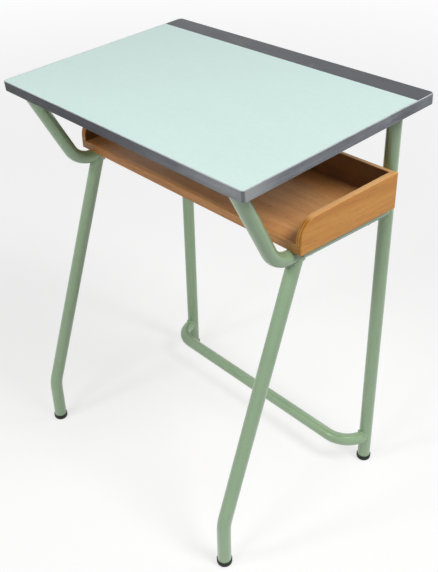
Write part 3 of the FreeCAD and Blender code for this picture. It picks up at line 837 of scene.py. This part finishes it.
def makeWeld(name, tubePoint, direction, tubeRadius, target, leg, stopShort=0.0, arc=None):
    # the bead follows the line where the tube's end meets the target; arc gives the part of the
    # turn that it covers
    direction = direction.normalized()
    path = weldPath(tubePoint, direction, tubeRadius, target, stopShort, arc)
    count = len(path)
    closed = arc is None
    shape = bmesh.new()
    rings = []
    for step, (point, outward) in enumerate(path):
        before = path[step - 1][0] if closed or step > 0 else point
        after = path[(step + 1) % count][0] if closed or step < count - 1 else point
        tangent = (after - before).normalized()
        size = beadSize(step, count, leg, tubeRadius, closed)
        rings.append(beadRing(shape, point, outward, tangent, direction,
                              targetNormal(point, target), size))
    spans = list(zip(rings, rings[1:] + rings[:1] if closed else rings[1:]))
    for here, there in spans:
        for part in range(len(here)):
            following = (part + 1) % len(here)
            shape.faces.new((here[part], here[following], there[following], there[part]))
    if not closed:
        shape.faces.new(rings[0])
        shape.faces.new(reversed(rings[-1]))
    bmesh.ops.recalc_face_normals(shape, faces=shape.faces)
    for face in shape.faces:
        face.smooth = True
    # the bead's skin is shaded apart from its root, which lies inside the tubes
    for here, there in spans:
        for rim in (0, weldLook["skinSteps"]):
            shape.edges.get((here[rim], there[rim])).smooth = False
    mesh = bpy.data.meshes.new(name)
    shape.to_mesh(mesh)
    shape.free()
    bead = bpy.data.objects.new(name, mesh)
    bpy.context.scene.collection.objects.link(bead)
    mesh.materials.append(sagePaint)
    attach(bead, "root")


def makeWelds():
    tubes = frameTubes
    radius = tubes["tubeRadius"]
    rail = tubes["railHeight"]
    leg, stopShort = weldLook["leg"], weldLook["stopShort"]
    turn = math.radians(tubes["stretcherTurn"])
    slope = math.radians(topSlope)
    plateNormal = Vector((0, -math.sin(slope), math.cos(slope)))
    for side, sign in (("left", -1), ("right", 1)):
        x = sign * tubes["halfSpacing"]
        rearLeg = {"kind": "tube", "point": Vector((x, tubes["rearLegY"], 0)),
                   "axis": Vector((0, 0, 1)), "radius": radius}
        railTube = {"kind": "tube", "point": Vector((x, 0, rail)), "axis": Vector((0, 1, 0)),
                    "radius": radius}
        # the tray covers the top of this joint, so the bead goes round its sides and underside
        makeWeld(side + "_rail_weld", Vector((x, tubes["rearLegY"], rail)), Vector((0, 1, 0)),
                 radius, rearLeg, leg, stopShort, weldLook["railArc"])
        legTop = Vector((x, tubes["frontWeldY"], rail))
        knee = Vector((x, tubes["frontFootY"], tubes["kneeHeight"]))
        makeWeld(side + "_front_leg_weld", legTop, legTop - knee, radius, railTube, leg,
                 stopShort)
        makeWeld(side + "_stretcher_weld",
                 Vector((x + sign * tubes["stretcherShift"], tubes["rearLegY"],
                         tubes["stretcherHeight"])),
                 Vector((sign * math.sin(turn), math.cos(turn), 0)),
                 tubes["stretcherRadius"], rearLeg, leg, stopShort)
        armRise = Vector((0, tubes["armTopY"] - tubes["armCornerY"],
                          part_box(side + "_arm")[1].z - rail))
        for end, direction in (("front", armRise), ("rear", Vector((0, 0, 1)))):
            plate = side + "_" + end + "_plate"
            low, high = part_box(plate)
            # the plate's lower face lies half its thickness below the middle of its box
            middle = (low + high) / 2 - plateNormal * tubes["halfPlate"]
            start = Vector((x, middle.y, middle.z))
            makeWeld(side + "_" + end + "_plate_weld", start, direction, radius,
                     {"kind": "plate", "point": middle, "normal": plateNormal},
                     weldLook["plateLeg"])


makeWelds()
print("weld beads made")


studio = {
    "paper": {"Roughness": 0.8, "Specular IOR Level": 0.1, "Emission Color": (1, 1, 1, 1)},
    "paperColour": (0.92, 0.92, 0.925, 1.0),
    "beyondPaper": (0.12, 0.12, 0.12, 1.0),
    "paperReach": (0.7, 1.5),
    "floorShown": (0.33, 0.33, 0.33, 1.0),
    "glowReach": (0.8, 5.0),
    "glow": (0.7, 0.945),       # near the desk and far away
    "floorRadius": 14.0,
    "floorSides": 96,
    "fill": (1.0, 1.0, 1.0, 1.0),
    "fillStrength": 0.03,
    "backdrop": (0.98, 0.98, 0.98, 1.0),
    "aim": (0.0, 0.0, 0.7),
    "unseenInGloss": ("rightSoftbox", "sitterSoftbox"),
    "softboxes": [
        # name, place, width, watts
        ("frontSoftbox", (-0.45, -1.6, 2.0), 0.45, 11.5),
        ("sitterSoftbox", (0.4, -2.3, 2.05), 0.9, 21.0),
        ("rightSoftbox", (2.4, 0.42, 3.3), 1.4, 77.0),
        ("backSoftbox", (1.3, 2.2, 2.5), 1.8, 14.0),
        ("overheadSoftbox", (0.8, -0.05, 2.5), 0.3, 4.0),
    ],
}


def seenPlainly(tree):
    # 1 where the lens looks, also by way of gloss or glass, and 0 where light only bounces
    path = tree.nodes.new("ShaderNodeLightPath").outputs
    seen = calculate(tree, "MAXIMUM", path["Is Camera Ray"], path["Is Glossy Ray"])
    return calculate(tree, "MAXIMUM", seen, path["Is Transmission Ray"])


def mixShaders(tree, amount, first, second):
    return addNode(tree, "ShaderNodeMixShader", {0: amount, 1: first, 2: second}).outputs[0]


def makeFloor():
    shape = bmesh.new()
    bmesh.ops.create_circle(shape, cap_ends=True, segments=studio["floorSides"],
                            radius=studio["floorRadius"])
    mesh = bpy.data.meshes.new("studioFloor")
    shape.to_mesh(mesh)
    shape.free()
    floor = bpy.data.objects.new("studioFloor", mesh)
    bpy.context.scene.collection.objects.link(floor)
    material, tree, shader, place = newFinish("paperFloor", studio["paper"])
    # the paper is seen as evenly white, with its glow in place of most of the lamps' light, and
    # it still throws the lamps' light back at the desk as white paper does
    seen = seenPlainly(tree)
    reach = addNode(tree, "ShaderNodeVectorMath", {0: place}, operation="LENGTH").outputs["Value"]
    throwsBack = mixColours(tree, stretchRange(tree, reach, *studio["paperReach"]),
                            studio["paperColour"], studio["beyondPaper"])
    tree.links.new(mixColours(tree, seen, throwsBack, studio["floorShown"]),
                   shader["Base Color"])
    glow = stretchRange(tree, reach, *studio["glowReach"], *studio["glow"])
    tree.links.new(calculate(tree, "MULTIPLY", seen, glow), shader["Emission Strength"])
    # from below the floor is clear, so that the desk's underside can be looked at
    below = tree.nodes.new("ShaderNodeNewGeometry").outputs["Backfacing"]
    clear = tree.nodes.new("ShaderNodeBsdfTransparent").outputs[0]
    surface = mixShaders(tree, below, tree.nodes["Principled BSDF"].outputs[0], clear)
    tree.links.new(surface, tree.nodes["Material Output"].inputs[0])
    mesh.materials.append(material)


def makeWorld():
    world = bpy.data.worlds.new("studioWorld")
    bpy.context.scene.world = world
    world.use_nodes = True
    tree = world.node_tree
    tree.nodes.clear()
    fill, shown = (addNode(tree, "ShaderNodeBackground",
                           {"Color": colour, "Strength": strength}).outputs[0]
                   for colour, strength in ((studio["fill"], studio["fillStrength"]),
                                            (studio["backdrop"], 1.0)))
    addNode(tree, "ShaderNodeOutputWorld",
            {"Surface": mixShaders(tree, seenPlainly(tree), fill, shown)})


def makeLamps():
    for name, place, width, watts in studio["softboxes"]:
        lamp = bpy.data.lights.new(name, "AREA")
        lamp.shape = "DISK"
        lamp.size = width
        lamp.energy = watts
        holder = bpy.data.objects.new(name, lamp)
        holder.location = place
        heading = Vector(studio["aim"]) - Vector(place)
        holder.rotation_euler = heading.to_track_quat("-Z", "Y").to_euler()
        holder.visible_glossy = name not in studio["unseenInGloss"]
        bpy.context.scene.collection.objects.link(holder)


viewpoint = {
    "place": (1.0246, -0.8713, 1.2418),
    "turn": (58.82, 1.11, 47.91),
    "lens": 52.91,              # in millimetres, like the sensor's width
    "sensor": 36.0,
    "shiftY": -0.0437,
    "farthest": 60.0,
}


def makeCamera():
    camera = bpy.data.cameras.new("studioCamera")
    camera.sensor_width = viewpoint["sensor"]
    camera.lens = viewpoint["lens"]
    camera.shift_y = viewpoint["shiftY"]
    camera.clip_end = viewpoint["farthest"]
    holder = bpy.data.objects.new("studioCamera", camera)
    holder.location = viewpoint["place"]
    holder.rotation_euler = Euler([math.radians(angle) for angle in viewpoint["turn"]])
    bpy.context.scene.collection.objects.link(holder)
    bpy.context.scene.camera = holder


makeFloor()
makeWorld()
makeLamps()
makeCamera()
bpy.context.scene.view_settings.view_transform = "Standard"
print("studio and camera set")
